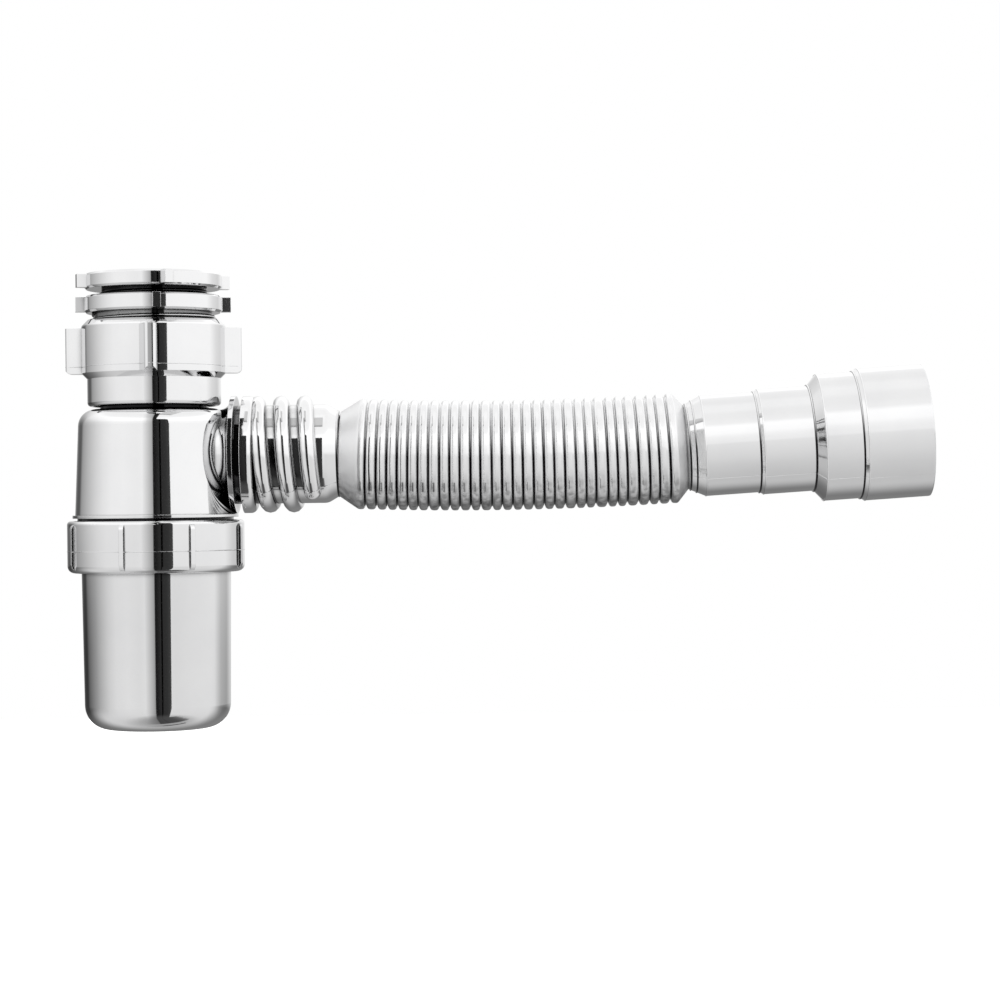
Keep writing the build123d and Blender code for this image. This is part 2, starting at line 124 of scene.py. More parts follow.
# How finely round shapes are divided.
TUBE_SIDES = 96
RIDGE_SIDES = 8
BEAD_STEPS = 18
THREAD_STEPS = 72
SEAM_STEPS = 160
ARC_STEPS = 24
MERGE = 0.002 * MM

# Patches that handling dulls: size, range of the noise in which they turn dull, and how much rougher.
PATCH = 18 * MM
PATCH_NOISE = (0.35, 0.75)
PATCH_ROUGHER = 1.8

# Painted shade: a dark colour mixed into the metal. In a gap it goes by how much of the surround within reach
# is open.
PAINTED_SHADE = "#1A1A1B"
GAP_REACH = 6 * MM
GAP_OPEN = (0.32, 0.76)

# On the bellows the painted shade goes by the height of the bead and by how far the film faces up, with more
# painted shade in blotches below.
GROOVE_HEIGHT = (0.42, 0.72)
GROOVE_FACING, GROOVE_SHADE = (-0.1, 0.6), (1.0, 0.08)
BLOTCH = 2.5 * MM
BLOTCH_NOISE, BLOTCH_SHADE = (0.35, 0.7), (0.2, 0.65)
BLOTCH_FACING = (-0.85, -0.25)

# White light tent: level of the surround by elevation in degrees, and how much of it comes from each side
# above and below eye height, by degrees round from the front to the right.
LEVELS = ((-90, 0.69), (-70, 0.74), (-50, 0.82), (-30, 0.93), (-10, 1.02), (0, 1.07), (3.5, 1.19), (10, 1.21),
          (17, 1.27), (24, 1.38), (40, 1.42), (47, 1.22), (60, 1.17), (72, 1.17), (82, 1.24), (90, 1.24))
SIDES = ((-180, 0.85), (-160, 0.3), (-146, 0.1), (-134, 0.1), (-126, 0.34), (-103, 0.57), (-88, 0.73),
         (-74, 0.86), (-60, 0.94), (-40, 0.96), (-20, 0.93), (0, 0.95), (10, 1.0), (60, 1.03), (108, 1.03),
         (125, 0.8), (145, 0.68), (162, 0.85), (180, 0.85))
LOW_SIDES = ((-180, 0.75), (-160, 0.12), (-146, 0.03), (-134, 0.03), (-126, 0.15), (-103, 0.36), (-88, 0.57),
             (-74, 0.76), (-60, 0.88), (-40, 0.92), (-20, 0.88), (0, 0.95), (8, 1.0), (20, 0.92), (35, 0.86),
             (60, 0.9), (108, 0.93), (125, 0.62), (145, 0.5), (162, 0.75), (180, 0.75))
TOP_LEVEL = 1.5

# Where that changes over at eye height and how fast it fades above and below, and where it is dim behind the
# object and low down: ranges of the direction's own height and depth.
EYE_HEIGHT, SIDE_FADE = (-0.07, 0.01), 4.0
BEHIND, LOW_DOWN = (0.1, 0.75), (-0.2, -0.02)
BEHIND_LEVEL = 0.3

# Table far below: size and height in metres, its own colour and the light that it adds for the camera.
FLOOR_SIZE, FLOOR_Z = 14.0, -0.75
FLOOR_GREY, FLOOR_GLOW = "#E7E7E7", 0.45

# Dark gap in the tent's front, in front of the bottle and the cuff: an upright part, one that leans in above
# the bottle, the strip of table before it, and a narrow strip below the object.
GAP_LOW_X, GAP_HIGH_X, GAP_TABLE_X, LEAN_HIGH_X = -25 * MM, 73 * MM, 130 * MM, 26 * MM
GAP_Y, LEAN_Y = -145 * MM, -60 * MM
GAP_TOP_Z, GAP_FLOOR_Z, LEAN_TOP_Z = 30 * MM, -300 * MM, 110 * MM
TABLE_BACK_Y, STRIP_FRONT_Y, STRIP_BACK_Y = -40 * MM, -14 * MM, -4 * MM
GAP_STRIPS = (
    ((LEAN_Y, LEAN_TOP_Z), (GAP_Y, GAP_TOP_Z), LEAN_HIGH_X),
    ((GAP_Y, GAP_TOP_Z), (GAP_Y, GAP_FLOOR_Z), GAP_HIGH_X),
    ((GAP_Y, GAP_FLOOR_Z), (TABLE_BACK_Y, GAP_FLOOR_Z), GAP_TABLE_X),
    ((STRIP_FRONT_Y, GAP_FLOOR_Z), (STRIP_BACK_Y, GAP_FLOOR_Z), GAP_HIGH_X),
)

# Place across the gap in millimetres, how bright it is and how far it covers.
GAP_TONES = ((-25, 0.03, 0.0), (-16, 0.03, 0.16), (-5, 0.03, 0.34), (3, 0.03, 0.47), (9.5, 0.02, 0.6),
             (12, 0.01, 1.0), (20, 0.018, 1.0), (32.5, 0.034, 1.0), (33.5, 0.0, 1.0), (38, 0.0, 1.0),
             (39.5, 0.034, 1.0), (56, 0.04, 1.0), (73, 0.065, 1.0), (100, 0.08, 0.8), (130, 0.1, 0.0))

# White board with dark slits at the right of the gap: place, back and low edge, spacing, where across the
# spacing a slit ends, and brightness.
FLAG_X = GAP_HIGH_X + 2 * MM
FLAG_BACK_Y, FLAG_STEP_Z = -70 * MM, -180 * MM
SLIT_PITCH, SLIT_END = 3 * MM, (0.28, 0.36)
SLIT_LEVEL, BOARD_LEVEL = 0.12, 1.05

# Grey lid of the tent above the cuff: sides, front and back, height, depth of its dark edge and brightness.
LID_X = (26 * MM, 74 * MM)
LID_FRONT_Y, LID_BACK_Y, LID_Z = -90 * MM, -5 * MM, 100 * MM
LID_EDGE = 20 * MM
LID_EDGE_LEVEL, LID_LEVEL = 0.3, 0.78

# Shade below the bottle: middle, half its width, where it begins and ends to fade, how bright and how dense.
SHADE_AT = (22 * MM, -62 * MM, -240 * MM)
SHADE_HALF = 100 * MM
SHADE_CORE, SHADE_END = 20 * MM, 95 * MM
SHADE_LEVEL, SHADE_COVER = 0.12, 0.55

# Camera: distance, width of the picture at the object, its middle, roll, and sensor width in millimetres.
CAMERA_AWAY, PICTURE_WIDTH = 980 * MM, 380 * MM
PICTURE_X, PICTURE_Z = 130.8 * MM, -87.3 * MM
CAMERA_ROLL = math.radians(0.7)
SENSOR = 36.0

# A Map Range node that eases in and out, and the output of a Mix node that gives a colour.
SMOOTH = dict(interpolation_type="SMOOTHSTEP")
MIXED_COLOUR = 2


# Places along the tube

def on_tube(along):
    """Point of the bellows' middle line at a distance from the first waist."""
    turn = along / BEND_R - SAG
    x = WAIST_X + BEND_R * (math.sin(turn) + math.sin(SAG))
    return (x, 0.0, OUTLET_Z - BEND_R * (math.cos(turn) - math.cos(SAG)))


TAIL_FROM = on_tube(BELLOWS_L)


def round_axis(start, tilt, along, radius, angle):
    """Point round a tilted axis in the XZ plane: distance along it, radius, and angle up from the front."""
    side, up = -radius * math.cos(angle), radius * math.sin(angle)
    x = start[0] + along * math.cos(tilt) - up * math.sin(tilt)
    return (x, side, start[2] + along * math.sin(tilt) + up * math.cos(tilt))


# Node trees

def rgb(code):
    """Linear colour of an sRGB hex code."""
    parts = [int(code[i:i + 2], 16) / 255 for i in (1, 3, 5)]
    return [c / 12.92 if c <= 0.04045 else ((c + 0.055) / 1.055) ** 2.4 for c in parts] + [1.0]


def add(tree, kind, *values, **named):
    """A node of this kind. Its sockets are set in their order or by name. A node as a value is linked by its
    first output, and an output is linked as it is. A name that is a property of the node sets that."""
    node = tree.nodes.new(kind)
    settings = [key for key in named if key in node.bl_rna.properties]
    for key in settings:
        setattr(node, key, named.pop(key))
    sockets = list(zip(node.inputs, values))
    for key, value in named.items():
        known = [socket for socket in node.inputs
                 if key in (socket.identifier, socket.name.replace(" ", "_"))]
        sockets.append((known[0], value))
    for socket, value in sockets:
        if isinstance(value, bpy.types.Node):
            value = value.outputs[0]
        if isinstance(value, bpy.types.NodeSocket):
            tree.links.new(value, socket)
        else:
            socket.default_value = value
    return node


def material(name):
    """A new material with an empty node tree."""
    made = bpy.data.materials.new(name)
    made.use_nodes = True
    made.node_tree.nodes.clear()
    return made, made.node_tree


# Finishes

def plating(name, colours, roughness, wave_mm, wave_height_mm, edge_mm, recess_shade, haze=0.0):
    """Bright chrome on moulded plastic: a clear mirror, a little softened in patches by handling, with the
    faint long waves of plastic that cooled unevenly in the mould, and with moulded edges rounded a little.
    Painted shade: a dark colour is mixed into the metal in recesses, by a share that the function passed in
    makes from the tree.
    Haze is how much duller the plain cones of the bellows are, which stretched least when blown."""
    made, tree = material(name)
    node = partial(add, tree)
    place = node("ShaderNodeTexCoord").outputs
    patch = node("ShaderNodeTexNoise", Vector=place["Object"], Scale=1 / PATCH, Detail=4.0, Roughness=0.6)
    soft = node("ShaderNodeMapRange", patch, *PATCH_NOISE, roughness, roughness * PATCH_ROUGHER, **SMOOTH)
    if haze:
        cone = node("ShaderNodeAttribute", attribute_name="cone").outputs["Fac"]
        more = node("ShaderNodeMath", cone, haze, operation="MULTIPLY")
        soft = node("ShaderNodeMath", soft, more, operation="ADD")
    tone = node("ShaderNodeValToRGB", patch)
    for stop, colour in zip(tone.color_ramp.elements, colours):
        stop.color = rgb(colour)
    # Painted shade mixed into the metal's colour in gaps and corners.
    shaded_tone = node("ShaderNodeMix", Factor_Float=recess_shade(tree, place), A_Color=tone, B_Color=rgb(PAINTED_SHADE),
                data_type="RGBA")
    waves = node("ShaderNodeTexNoise", Vector=place["Object"], Scale=1 / (wave_mm * MM), Detail=1.0)
    edge = node("ShaderNodeBevel", samples=6, Radius=edge_mm * MM)
    bump = node("ShaderNodeBump", Height=waves, Normal=edge, Strength=1.0, Distance=wave_height_mm * MM)
    metal = node("ShaderNodeBsdfPrincipled", Base_Color=shaded_tone.outputs[MIXED_COLOUR], Metallic=1.0,
                 Roughness=soft, Normal=bump)
    node("ShaderNodeOutputMaterial", metal)
    return made


def gap_shade(tree, place):
    """Share of painted shade in gaps and corners, where little of the surround within reach is open."""
    open_to = add(tree, "ShaderNodeAmbientOcclusion", samples=16, Distance=GAP_REACH).outputs["AO"]
    return add(tree, "ShaderNodeMapRange", open_to, *GAP_OPEN, 1.0, 0.0, **SMOOTH)


def shade_between_beads(tree, place):
    """Share of painted shade between the beads, most on the underside, and in blotches where the film faces
    down.
    """
    node = partial(add, tree)
    bead = node("ShaderNodeAttribute", attribute_name="bead").outputs["Fac"]
    facing = node("ShaderNodeSeparateXYZ", place["Normal"]).outputs["Z"]
    groove = node("ShaderNodeMapRange", bead, *GROOVE_HEIGHT, 1.0, 0.0, **SMOOTH)
    under = node("ShaderNodeMapRange", facing, *GROOVE_FACING, *GROOVE_SHADE, **SMOOTH)
    blotch = node("ShaderNodeTexNoise", Vector=place["Object"], Scale=1 / BLOTCH, Detail=3.0)
    patchy = node("ShaderNodeMapRange", blotch, *BLOTCH_NOISE, *BLOTCH_SHADE, **SMOOTH)
    # Painted shade in blotches where the film faces down.
    lowest = node("ShaderNodeMapRange", facing, *BLOTCH_FACING, 1.0, 0.0, **SMOOTH)
    shade_below = node("ShaderNodeMath", lowest, patchy, operation="MULTIPLY")
    dark = node("ShaderNodeMath", groove, under, operation="MULTIPLY")
    return node("ShaderNodeMath", dark, shade_below, operation="MAXIMUM")


def moulded(name, colours, roughness, ior, grain_mm, grain_height_mm):
    """Dull moulded rubber or plastic: one colour with a fine moulded grain that breaks the highlight."""
    made, tree = material(name)
    node = partial(add, tree)
    place = node("ShaderNodeTexCoord").outputs
    grain = node("ShaderNodeTexNoise", Vector=place["Object"], Scale=1 / (grain_mm * MM), Detail=3.0)
    tone = node("ShaderNodeValToRGB", grain)
    for stop, colour in zip(tone.color_ramp.elements, colours):
        stop.color = rgb(colour)
    bump = node("ShaderNodeBump", Height=grain, Strength=1.0, Distance=grain_height_mm * MM)
    body = node("ShaderNodeBsdfPrincipled", Base_Color=tone, Normal=bump, Roughness=roughness, IOR=ior)
    node("ShaderNodeOutputMaterial", body)
    return made


# Chrome is a very bright, neutral mirror. The tube's metallised film is a touch softer than the plated
# mouldings, and the steps of its end are blown with rounder corners than the cuff has.
plated = plating("chrome_plated_abs", ("#DADADB", "#E4E4E4"), roughness=0.035, wave_mm=22,
                 wave_height_mm=0.01, edge_mm=0.25, recess_shade=gap_shade)
film = plating("metallised_polypropylene", ("#DDDDDE", "#E6E6E6"), roughness=0.045, wave_mm=9,
               wave_height_mm=0.02, edge_mm=0.35, recess_shade=gap_shade)
spigot = plating("metallised_spigot", ("#D6D6D7", "#E0E0E0"), roughness=0.045, wave_mm=9,
                 wave_height_mm=0.02, edge_mm=0.9, recess_shade=gap_shade)
# The bellows' film takes painted shade in its grooves and below.
blown = plating("metallised_blown_bellows", ("#DDDDDE", "#E7E7E7"), roughness=0.06, wave_mm=4,
                wave_height_mm=0.05, edge_mm=0.15, recess_shade=shade_between_beads, haze=0.3)

# Rubber is black and dull. Natural polypropylene is a waxy off-white.
rubber = moulded("epdm_rubber", ("#1C1C1D", "#262626"), roughness=0.75, ior=1.5, grain_mm=0.6,
                 grain_height_mm=0.02)
natural = moulded("natural_polypropylene", ("#CFCFC9", "#DAD9D3"), roughness=0.45, ior=1.49, grain_mm=1.5,
                  grain_height_mm=0.01)
FINISHES = (
    (plated, ("trap_body", "inlet_nut", "small_reducer", "large_reducer", "cup_nut", "cup")),
    (film, ("tube_cuff",)),
    (spigot, ("tube_tail",)),
    (rubber, ("waste_washer", "middle_washer", "inlet_washer", "cup_seal", "outlet_washer")),
    (natural, ("dip_tube",)),
)
for finish, nodes in FINISHES:
    for name in nodes:
        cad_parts[name].data.materials.clear()
        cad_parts[name].data.materials.append(finish)


# Shapes that follow a line

def path_curve(name, *lines):
    """A curve object of these lines of points."""
    curve = bpy.data.curves.new(name, "CURVE")
    curve.dimensions = "3D"
    for points in lines:
        spline = curve.splines.new("POLY")
        spline.points.add(len(points) - 1)
        for point, place in zip(spline.points, points):
            point.co = (*place, 1.0)
    made = bpy.data.objects.new(name, curve)
    bpy.context.scene.collection.objects.link(made)
    return made


def group(name, inputs):
    """A node tree with a geometry input and output and these named inputs, numbers and a material, and what
    its input node gives."""
    tree = bpy.data.node_groups.new(name, "GeometryNodeTree")
    tree.interface.new_socket("Geometry", in_out="INPUT", socket_type="NodeSocketGeometry")
    for key in inputs:
        kind = "NodeSocketMaterial" if key == "Material" else "NodeSocketFloat"
        tree.interface.new_socket(key, in_out="INPUT", socket_type=kind)
    tree.interface.new_socket("Geometry", in_out="OUTPUT", socket_type="NodeSocketGeometry")
    return tree, tree.nodes.new("NodeGroupInput").outputs


def round_sweep(tree, line, radius, sides):
    """A line as a round tube of this radius."""
    ring = add(tree, "GeometryNodeCurvePrimitiveCircle", Resolution=sides, Radius=1.0)
    return add(tree, "GeometryNodeCurveToMesh", Curve=line, Profile_Curve=ring, Scale=radius)


def finish_group(tree, finish, parts):
    """Joins the parts, shades them smooth, makes them real and gives them the group's material."""
    joined = add(tree, "GeometryNodeJoinGeometry")
    for part in parts:
        tree.links.new(part.outputs["Mesh"], joined.inputs["Geometry"])
    smooth = add(tree, "GeometryNodeSetShadeSmooth", joined)
    real = add(tree, "GeometryNodeRealizeInstances", smooth)
    dressed = add(tree, "GeometryNodeSetMaterial", Geometry=real, Material=finish)
    add(tree, "NodeGroupOutput", dressed)


def made_mesh(source, tree, name, values):
    """Runs a node tree on a curve and keeps the result as a plain mesh object at the origin."""
    modifier = source.modifiers.new(tree.name, "NODES")
    modifier.node_group = tree
    sockets = {item.name: item.identifier for item in tree.interface.items_tree if item.in_out == "INPUT"}
    for key, value in values.items():
        modifier[sockets[key]] = value
    graph = bpy.context.evaluated_depsgraph_get()
    mesh = bpy.data.meshes.new_from_object(source.evaluated_get(graph), depsgraph=graph)
    bpy.data.objects.remove(source)
    mesh.name = name
    piece = bpy.data.objects.new(name, mesh)
    bpy.context.scene.collection.objects.link(piece)
    return piece


def bellows_tree():
    """Beads along a line: the radius follows a round bead rule between two cones, as an outer and an inner
    wall. The blown beads drift a little from their even places."""
    tree, size = group("bellows", ("Along", "Length", "Pitch", "First bead", "Last bead", "Crest", "Groove",
                                   "Waist", "Wall", "Drift", "Material"))
    node = partial(add, tree)

    # Place within a bead, from -1 in one groove over 0 on the crest to 1 in the next groove. The half in
    # WHOLE_AND_HALF puts a crest on the first bead, and its whole beads keep the count above zero.
    passed = node("GeometryNodeSplineParameter").outputs["Length"]
    along = node("ShaderNodeMath", passed, size["Along"], operation="ADD")
    wander = node("ShaderNodeTexNoise", W=along, Scale=1 / DRIFT_RUN, Detail=1.0, noise_dimensions="1D")
    uneven = node("ShaderNodeMath", wander, 0.5, operation="SUBTRACT")
    drift = node("ShaderNodeMath", uneven, size["Drift"], operation="MULTIPLY")
    even = node("ShaderNodeMath", along, size["First bead"], operation="SUBTRACT")
    shifted = node("ShaderNodeMath", even, drift, operation="ADD")
    turns = node("ShaderNodeMath", shifted, size["Pitch"], operation="DIVIDE")
    counted = node("ShaderNodeMath", turns, WHOLE_AND_HALF, operation="ADD")
    phase = node("ShaderNodeMath", counted, operation="FRACT")
    double = node("ShaderNodeMath", phase, 2.0, operation="MULTIPLY")
    off = node("ShaderNodeMath", double, 1.0, operation="SUBTRACT")

    # Height of the bead there, which stays full on the plain cones before and after the beads.
    away = node("ShaderNodeMath", off, operation="ABSOLUTE")
    fall = node("ShaderNodeMath", away, BEAD_FLAT, operation="POWER")
    rest = node("ShaderNodeMath", 1.0, fall, operation="SUBTRACT")
    above = node("ShaderNodeMath", rest, 0.0, operation="MAXIMUM")
    bead = node("ShaderNodeMath", above, BEAD_ROUND, operation="POWER")
    before = node("ShaderNodeMath", along, size["First bead"], operation="LESS_THAN")
    after = node("ShaderNodeMath", along, size["Last bead"], operation="GREATER_THAN")
    plain = node("ShaderNodeMath", before, after, operation="MAXIMUM")
    bead = node("ShaderNodeMath", bead, plain, operation="MAXIMUM")
    line = size["Geometry"]
    for key, value in (("bead", bead), ("cone", plain)):
        line = node("GeometryNodeStoreNamedAttribute", Geometry=line, Name=key, Value=value)

    # Radius from the groove to the crest, kept inside the cone at each end.
    depth = node("ShaderNodeMath", size["Crest"], size["Groove"], operation="SUBTRACT")
    raised = node("ShaderNodeMath", bead, depth, operation="MULTIPLY")
    radius = node("ShaderNodeMath", size["Groove"], raised, operation="ADD")
    flare = node("ShaderNodeMath", size["Crest"], size["Waist"], operation="SUBTRACT")
    left = node("ShaderNodeMath", size["Length"], along, operation="SUBTRACT")
    last = node("ShaderNodeMath", size["Length"], size["Last bead"], operation="SUBTRACT")
    for run, length in ((along, size["First bead"]), (left, last)):
        sloped = node("ShaderNodeMath", length, CONE_END, operation="SUBTRACT")
        share = node("ShaderNodeMath", run, sloped, operation="DIVIDE")
        widened = node("ShaderNodeMath", share, flare, operation="MULTIPLY")
        cone = node("ShaderNodeMath", size["Waist"], widened, operation="ADD")
        radius = node("ShaderNodeMath", radius, cone, CONE_BLEND, operation="SMOOTH_MIN")

    outer = round_sweep(tree, line, radius, TUBE_SIDES)
    bore = node("ShaderNodeMath", radius, size["Wall"], operation="SUBTRACT")
    inner = node("GeometryNodeFlipFaces", round_sweep(tree, line, bore, TUBE_SIDES))
    finish_group(tree, size["Material"], (outer, inner))
    return tree


def ridge_tree():
    """A raised round line along a path that runs out to nothing at both ends: threads and parting lines."""
    tree, size = group("ridge", ("Ridge", "Run out", "Material"))
    node = partial(add, tree)
    passed = node("GeometryNodeSplineParameter").outputs["Length"]
    left = node("ShaderNodeMath", node("GeometryNodeSplineLength"), passed, operation="SUBTRACT")
    nearest = node("ShaderNodeMath", passed, left, operation="MINIMUM")
    share = node("ShaderNodeMath", nearest, size["Run out"], operation="DIVIDE")
    full = node("ShaderNodeMath", share, 1.0, operation="MINIMUM")
    radius = node("ShaderNodeMath", full, size["Ridge"], operation="MULTIPLY")
    finish_group(tree, size["Material"], (round_sweep(tree, size["Geometry"], radius, RIDGE_SIDES),))
    return tree


BELLOWS = bellows_tree()
RIDGE = ridge_tree()


def raised_line(name, lines, ridge, run_out, finish, body):
    """A thread, parting line or bead along these lines of points, on one body."""
    path = path_curve(name + "_path", *lines)
    piece = made_mesh(path, RIDGE, name, {"Ridge": ridge, "Run out": run_out, "Material": finish})
    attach(piece, body)


# The bellows is two halves that meet on a crest.
MIDDLE = FIRST_BEAD + BEAD_PITCH * (BEAD_COUNT // 2)
HALVES = (("bellows_near", 0.0, MIDDLE, "cuff", "bellows"),
          ("bellows_far", MIDDLE, BELLOWS_L, "bellows", "tail"))
bead_rule = {"Length": BELLOWS_L, "Pitch": BEAD_PITCH, "First bead": FIRST_BEAD, "Last bead": LAST_BEAD,
             "Crest": CREST_R, "Groove": GROOVE_R, "Waist": WAIST_R, "Wall": FILM_WALL, "Drift": BEAD_DRIFT,
             "Material": blown}
for name, low, high, a, b in HALVES:
    count = round((high - low) / BEAD_PITCH * BEAD_STEPS)
    line = path_curve(name + "_line", [on_tube(low + (high - low) * k / count) for k in range(count + 1)])
    half = made_mesh(line, BELLOWS, name, {**bead_rule, "Along": low})
    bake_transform(half)
    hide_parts("tube_bellows")


# Cuff

def softened(node, body, angle):
    """A copy of a CAD piece, in its place, with its triangles merged and its shallow edges shaded round."""
    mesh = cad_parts[node].data.copy()
    shape = bmesh.new()
    shape.from_mesh(mesh)
    bmesh.ops.remove_doubles(shape, verts=shape.verts, dist=MERGE)
    shape.to_mesh(mesh)
    shape.free()
    if "custom_normal" in mesh.attributes:
        mesh.attributes.remove(mesh.attributes["custom_normal"])
    mesh.shade_smooth()
    mesh.set_sharp_from_angle(angle=angle)
    piece = bpy.data.objects.new(node + "_rounded", mesh)
    bpy.context.scene.collection.objects.link(piece)
    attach(piece, body)
    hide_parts(node)


softened("tube_cuff", "cuff", CUFF_SMOOTH)


# Threads

def helix(radius, low, high, pitch):
    """Right-hand thread line up the inlet axis."""
    count = round((high - low) / pitch * THREAD_STEPS)
    turns = [math.tau * (high - low) / pitch * k / count for k in range(count + 1)]
    return [(radius * math.cos(t), radius * math.sin(t), low + pitch * t / math.tau) for t in turns]


for name, radius, low, high, (pitch, ridge), body in THREADS:
    raised_line(name, [helix(radius, low, high, pitch)], ridge, THREAD_RUN_OUT, plated, body)


# Parting lines of the cuff and the stepped end

def cuff_radius(x, angle):
    """Outside of the cuff at this place: plain wall, the coil where it passes, and the cone to the waist."""
    radius = CUFF_R
    for turn in range(math.ceil(COIL_TURNS)):
        passed = (COIL_START - angle) / math.tau % 1 + turn
        away = x - COIL_X - COIL_PITCH * passed
        if passed <= COIL_TURNS and abs(away) < COIL_HALF:
            radius = max(radius, COIL_MID_R + math.sqrt(COIL_HALF ** 2 - away ** 2))
    share = max(0.0, (x - WAIST_X + WAIST_L) / WAIST_L)
    return min(radius, CUFF_R + (WAIST_R - CUFF_R) * share) if share else radius


SEAM_FROM = CUFF_X + MOUTH_BEAD_L
for k, angle in enumerate(SEAM_ANGLES):
    xs = [SEAM_FROM + (WAIST_X - SEAM_FROM) * i / SEAM_STEPS for i in range(SEAM_STEPS + 1)]
    cuff_line = [round_axis((0, 0, OUTLET_Z), 0, x, cuff_radius(x, angle), angle) for x in xs]
    raised_line(f"cuff_seam_{k}", [cuff_line], SEAM_RIDGE, CUFF_SEAM_RUN_OUT, film, "cuff")
    tail_line = [round_axis(TAIL_FROM, RISE, s * MM, r * MM, angle) for s, r in STEPS]
    raised_line(f"tail_seam_{k}", [tail_line], SEAM_RIDGE, TAIL_SEAM_RUN_OUT, film, "tail")


# Beads and creases of the stepped end and the waist

def hoops(start, tilt, places):
    """Rings round a tilted axis, begun at the back: distance along it and radius in millimetres."""
    around = [math.pi + math.tau * i / TUBE_SIDES for i in range(TUBE_SIDES + 1)]
    return [[round_axis(start, tilt, s * MM, r * MM, angle) for angle in around] for s, r in places]


raised_line("tail_step_beads", hoops(TAIL_FROM, RISE, STEP_BEADS), BEAD_RIDGE, HOOP_RUN_OUT, film,
            "tail")
# The creases take the bellows' finish: with no beads on them, its painted shade darkens them, most where they
# face down.
raised_line("tail_step_creases", hoops(TAIL_FROM, RISE, STEP_CREASES), CREASE_RIDGE, HOOP_RUN_OUT, blown,
            "tail")
raised_line("waist_crease", hoops((WAIST_X, 0, OUTLET_Z), 0, WAIST_CREASE), WAIST_RIDGE, HOOP_RUN_OUT, blown,
            "cuff")


# Parting lines of the nuts

def gripped_ring(radius, level, turn, count, grip):
    """Line round a nut at one height that follows its wings or ribs, begun at the back."""
    back = math.pi / 2
    first = back + (turn - back) % (math.tau / count)
    points, angle = [], back
    for k in range(count + 1):
        middle = first + math.tau * k / count
        until = min(middle + math.asin(grip[0][1] * MM / radius), back + math.tau)
        arc = [angle + (until - angle) * i / ARC_STEPS for i in range(ARC_STEPS + 1)]
        points += [(radius * math.cos(t), radius * math.sin(t), level) for t in arc]
        if k < count:
            for out, side in grip[1:-1]:
                reach, across = radius + out * MM, side * MM
                points.append((reach * math.cos(middle) - across * math.sin(middle),
                               reach * math.sin(middle) + across * math.cos(middle), level))
        angle = middle + math.asin(grip[-1][1] * MM / radius)
    return points


raised_line("cup_nut_seam", [gripped_ring(**CUP_NUT_LINE)], CUP_NUT_RIDGE, NUT_RUN_OUT, plated,
            "cup_nut")
raised_line("inlet_nut_seam", [gripped_ring(**INLET_NUT_LINE)], INLET_NUT_RIDGE, NUT_RUN_OUT, plated,
            "nut")


# Studio

def level_curve(tree, angle, reach, points):
    """Level by an angle, from points in degrees between -reach and reach. The curve itself runs from 0 to 1
    both ways, so angles and levels are scaled to that."""
    scaled = add(tree, "ShaderNodeMath", angle, 0.5 / math.radians(reach), operation="MULTIPLY")
    share = add(tree, "ShaderNodeMath", scaled, 0.5, operation="ADD")
    curve = add(tree, "ShaderNodeFloatCurve", Value=share)
    line = curve.mapping.curves[0].points
    places = [(0.5 + 0.5 * degrees / reach, level / TOP_LEVEL) for degrees, level in points]
    line[0].location, line[-1].location = places[0], places[-1]
    for place in places[1:-1]:
        line.new(*place)
    for point in line:
        point.handle_type = "VECTOR"
    curve.mapping.update()
    return add(tree, "ShaderNodeMath", curve, TOP_LEVEL, operation="MULTIPLY")


def tent_world():
    """White surround that is brightest in a band overhead and falls off to the left and behind."""
    world = bpy.data.worlds.new("light_tent")
    bpy.context.scene.world = world
    world.use_nodes = True
    tree = world.node_tree
    tree.nodes.clear()
    node = partial(add, tree)
    way = node("ShaderNodeSeparateXYZ", node("ShaderNodeTexCoord").outputs["Generated"]).outputs
    height = node("ShaderNodeMath", way["Z"], operation="ARCSINE")
    front = node("ShaderNodeMath", way["Y"], -1.0, operation="MULTIPLY")
    side = node("ShaderNodeMath", way["X"], front, operation="ARCTAN2")
    level = level_curve(tree, height, 90, LEVELS)

    # Share of each side, in full at eye height and fading out towards the top and the bottom.
    below = node("ShaderNodeMapRange", way["Z"], *EYE_HEIGHT, 1.0, 0.0, **SMOOTH)
    share = node("ShaderNodeMix", Factor_Float=below, A_Float=level_curve(tree, side, 180, SIDES),
                 B_Float=level_curve(tree, side, 180, LOW_SIDES))
    steep = node("ShaderNodeMath", way["Z"], 2.0, operation="POWER")
    gentle = node("ShaderNodeMath", 1.0, steep, operation="SUBTRACT")
    flat = node("ShaderNodeMath", gentle, SIDE_FADE, operation="POWER")
    sided = node("ShaderNodeMix", Factor_Float=flat, A_Float=1.0, B_Float=share)

    # Less light from below behind the object.
    behind = node("ShaderNodeMapRange", way["Y"], *BEHIND, 1.0, BEHIND_LEVEL, **SMOOTH)
    low = node("ShaderNodeMapRange", way["Z"], *LOW_DOWN, 1.0, 0.0, **SMOOTH)
    dim = node("ShaderNodeMix", Factor_Float=low, A_Float=1.0, B_Float=behind)

    lit = node("ShaderNodeMath", level, sided, operation="MULTIPLY")
    strength = node("ShaderNodeMath", lit, dim, operation="MULTIPLY")
    seen = node("ShaderNodeLightPath").outputs["Is Camera Ray"]
    shown = node("ShaderNodeMix", Factor_Float=seen, A_Float=strength, B_Float=1.0)
    node("ShaderNodeOutputWorld", node("ShaderNodeBackground", Color=rgb("#FFFFFF"), Strength=shown))


def pale_floor():
    """Matt table that glows a little for the camera, to show white, and stays out of reflections."""
    bpy.ops.mesh.primitive_plane_add(size=FLOOR_SIZE, location=(0, 0, FLOOR_Z))
    floor = bpy.context.object
    floor.name = "floor"
    pale, tree = material("pale_floor")
    node = partial(add, tree)
    matt = node("ShaderNodeBsdfDiffuse", Color=rgb(FLOOR_GREY))
    both = node("ShaderNodeAddShader", matt, node("ShaderNodeEmission", Strength=FLOOR_GLOW))
    seen = node("ShaderNodeLightPath").outputs["Is Camera Ray"]
    node("ShaderNodeOutputMaterial", node("ShaderNodeMixShader", seen, matt, both))
    floor.data.materials.append(pale)
    floor.visible_glossy = False
    return floor


